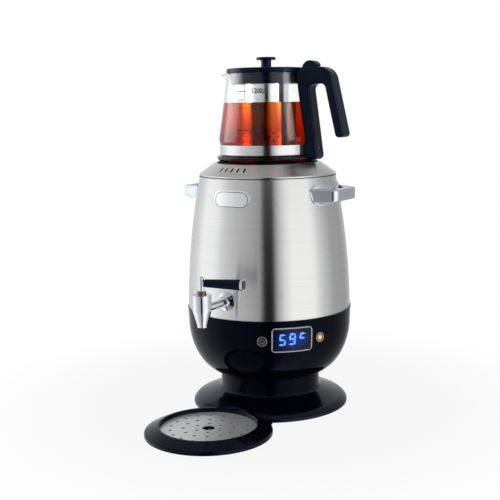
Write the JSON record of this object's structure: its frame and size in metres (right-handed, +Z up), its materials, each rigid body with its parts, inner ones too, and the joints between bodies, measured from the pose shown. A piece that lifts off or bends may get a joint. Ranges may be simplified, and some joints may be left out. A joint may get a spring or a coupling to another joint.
{
  "type": "electric tea maker",
  "caption": "Samovar-style electric tea maker: steel tank body on a black base with display and buttons, lever tap, drip tray and a lidded glass teapot on top.",
  "frame": {"origin": "on the floor, on the upright axis of the tank and foot", "axes": "+Z up along the tank's axis, -Y towards the tap and drip tray, +X towards the teapot's handle"},
  "size_m": [0.262, 0.3878, 0.5206],
  "materials": {
    "gloss_black": "polished moulding",
    "satin_black": "fine satin moulding",
    "steel_sheet": "brushed round the body",
    "chrome": "mirror plated",
    "dark_brass": "dark turned brass",
    "rubber": "soft moulded",
    "glass": "clear borosilicate",
    "bezel": "pale satin frame",
    "window": "dark blue window",
    "circuit": "solder resist",
    "button_metal": "turned face",
    "heater_metal": "cast",
    "fitting": "pressed",
    "screw_steel": "zinc plated",
    "badge": "bare satin plate"
  },
  "bodies": {
    "base": {"foot": "gloss_black", "base_bowl": "gloss_black", "base_cover": "satin_black", "left_switch": "satin_black", "right_switch": "satin_black", "display_module": "satin_black", "body_shell": "steel_sheet", "tank": "steel_sheet", "tank_floor": "steel_sheet", "tap_rosette": "chrome", "tap_shank": "chrome", "tap_barrel": "chrome", "left_handle_plate": "chrome", "right_handle_plate": "chrome", "left_side_handle": "chrome", "right_side_handle": "chrome", "root_nut": "dark_brass", "tap_nut": "dark_brass", "tap_bonnet": "dark_brass", "foot_ring": "rubber", "cord_bush": "rubber", "tap_seal": "rubber", "tap_washer": "rubber", "display_bezel": "bezel", "display_window": "window", "control_board": "circuit", "heater_plate": "heater_metal", "heating_element": "heater_metal", "boil_thermostat": "fitting", "thermal_fuse": "fitting", "temperature_probe": "fitting", "cover_screws": "screw_steel", "bowl_screws": "screw_steel", "board_screws": "screw_steel", "side_handle_screws": "screw_steel", "badge_plate": "badge"},
    "tap_lever": {"tap_plug": "dark_brass", "lever_stem": "chrome", "lever_grip": "satin_black", "lever_end_ring": "chrome", "lever_end_cap": "satin_black"},
    "left_button": {"left_button": "button_metal"},
    "right_button": {"right_button": "button_metal"},
    "drip_tray": {"drip_tray": "gloss_black"},
    "drip_grid": {"drip_grid": "steel_sheet"},
    "shoulder_lid": {"shoulder_lid": "steel_sheet", "shoulder_skirt": "steel_sheet", "lid_gasket": "rubber", "pot_seat": "rubber"},
    "teapot": {"teapot_glass": "glass", "teapot_band": "steel_sheet", "teapot_handle": "satin_black", "handle_bolt": "screw_steel", "hinge_pin": "screw_steel", "infuser_collar": "satin_black", "infuser_seat": "satin_black", "infuser": "steel_sheet"},
    "pot_lid": {"pot_lid": "satin_black", "lid_knob": "satin_black", "knob_screw": "screw_steel"}
  },
  "joints": [
    {"name": "lever_turn", "type": "hinge", "parent": "base", "child": "tap_lever", "pos_m": [0, -0.183, 0.2], "axis": [0, 0, 1], "range_deg": [-90, 0]},
    {"name": "left_press", "type": "slide", "parent": "base", "child": "left_button", "axis": [-0.4226, 0.9063, 0], "range_m": [0, 0.0015], "stiffness_N_per_m": 300},
    {"name": "right_press", "type": "slide", "parent": "base", "child": "right_button", "axis": [-0.9107, 0.4131, 0], "range_m": [0, 0.0015], "stiffness_N_per_m": 300},
    {"name": "tray_pull", "type": "slide", "parent": "base", "child": "drip_tray", "axis": [0, -1, 0], "range_m": [0, 0.12]},
    {"name": "grid_lift", "type": "slide", "parent": "drip_tray", "child": "drip_grid", "axis": [0, 0, 1], "range_m": [0, 0.06]},
    {"name": "shoulder_lift", "type": "slide", "parent": "base", "child": "shoulder_lid", "axis": [0, 0, 1], "range_m": [0, 0.1]},
    {"name": "teapot_lift", "type": "slide", "parent": "shoulder_lid", "child": "teapot", "axis": [0, 0, 1], "range_m": [0, 0.16]},
    {"name": "pot_lid_open", "type": "hinge", "parent": "teapot", "child": "pot_lid", "pos_m": [0.0665, 0, 0.4995], "axis": [0, 1, 0], "range_deg": [0, 50]}
  ]
}
